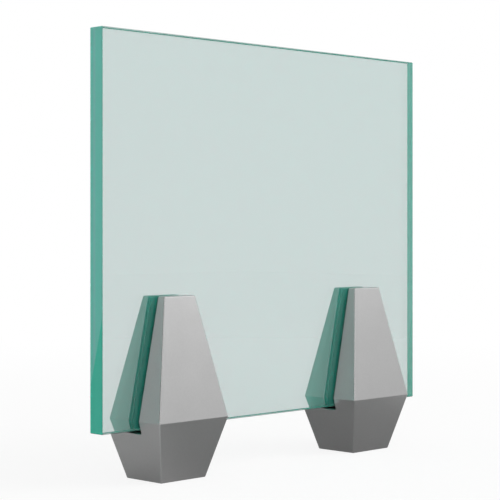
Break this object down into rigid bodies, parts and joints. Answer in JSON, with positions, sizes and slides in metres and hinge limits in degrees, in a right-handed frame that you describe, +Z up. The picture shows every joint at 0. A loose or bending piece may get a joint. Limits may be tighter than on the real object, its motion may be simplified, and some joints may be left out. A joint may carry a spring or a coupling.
{
  "type": "frameless glass railing",
  "caption": "Frameless glass railing: a clear toughened pane standing in faceted steel spigot clamps that taper from a wide waist to base and top.",
  "frame": {"origin": "on the floor, under the middle of the pane", "axes": "+X along the pane, +Z up, -Y the front, with the set screws on the +Y side"},
  "size_m": [0.387, 0.068, 0.3622],
  "materials": {
    "pane_glass": "clear float glass with a green edge",
    "satin_steel": "satin, fine bead blast",
    "plain_steel": "mill finish",
    "screw_steel": "machined",
    "liner_rubber": "matt",
    "block_rubber": "matt"
  },
  "bodies": {
    "root": {"glass_pane": "pane_glass", "left_spigot_body": "satin_steel", "left_front_liner": "liner_rubber", "left_back_liner": "liner_rubber", "left_pressure_plate": "plain_steel", "left_setting_block": "block_rubber", "left_lower_set_screw": "screw_steel", "left_upper_set_screw": "screw_steel", "right_spigot_body": "satin_steel", "right_front_liner": "liner_rubber", "right_back_liner": "liner_rubber", "right_pressure_plate": "plain_steel", "right_setting_block": "block_rubber", "right_lower_set_screw": "screw_steel", "right_upper_set_screw": "screw_steel"}
  },
  "joints": []
}
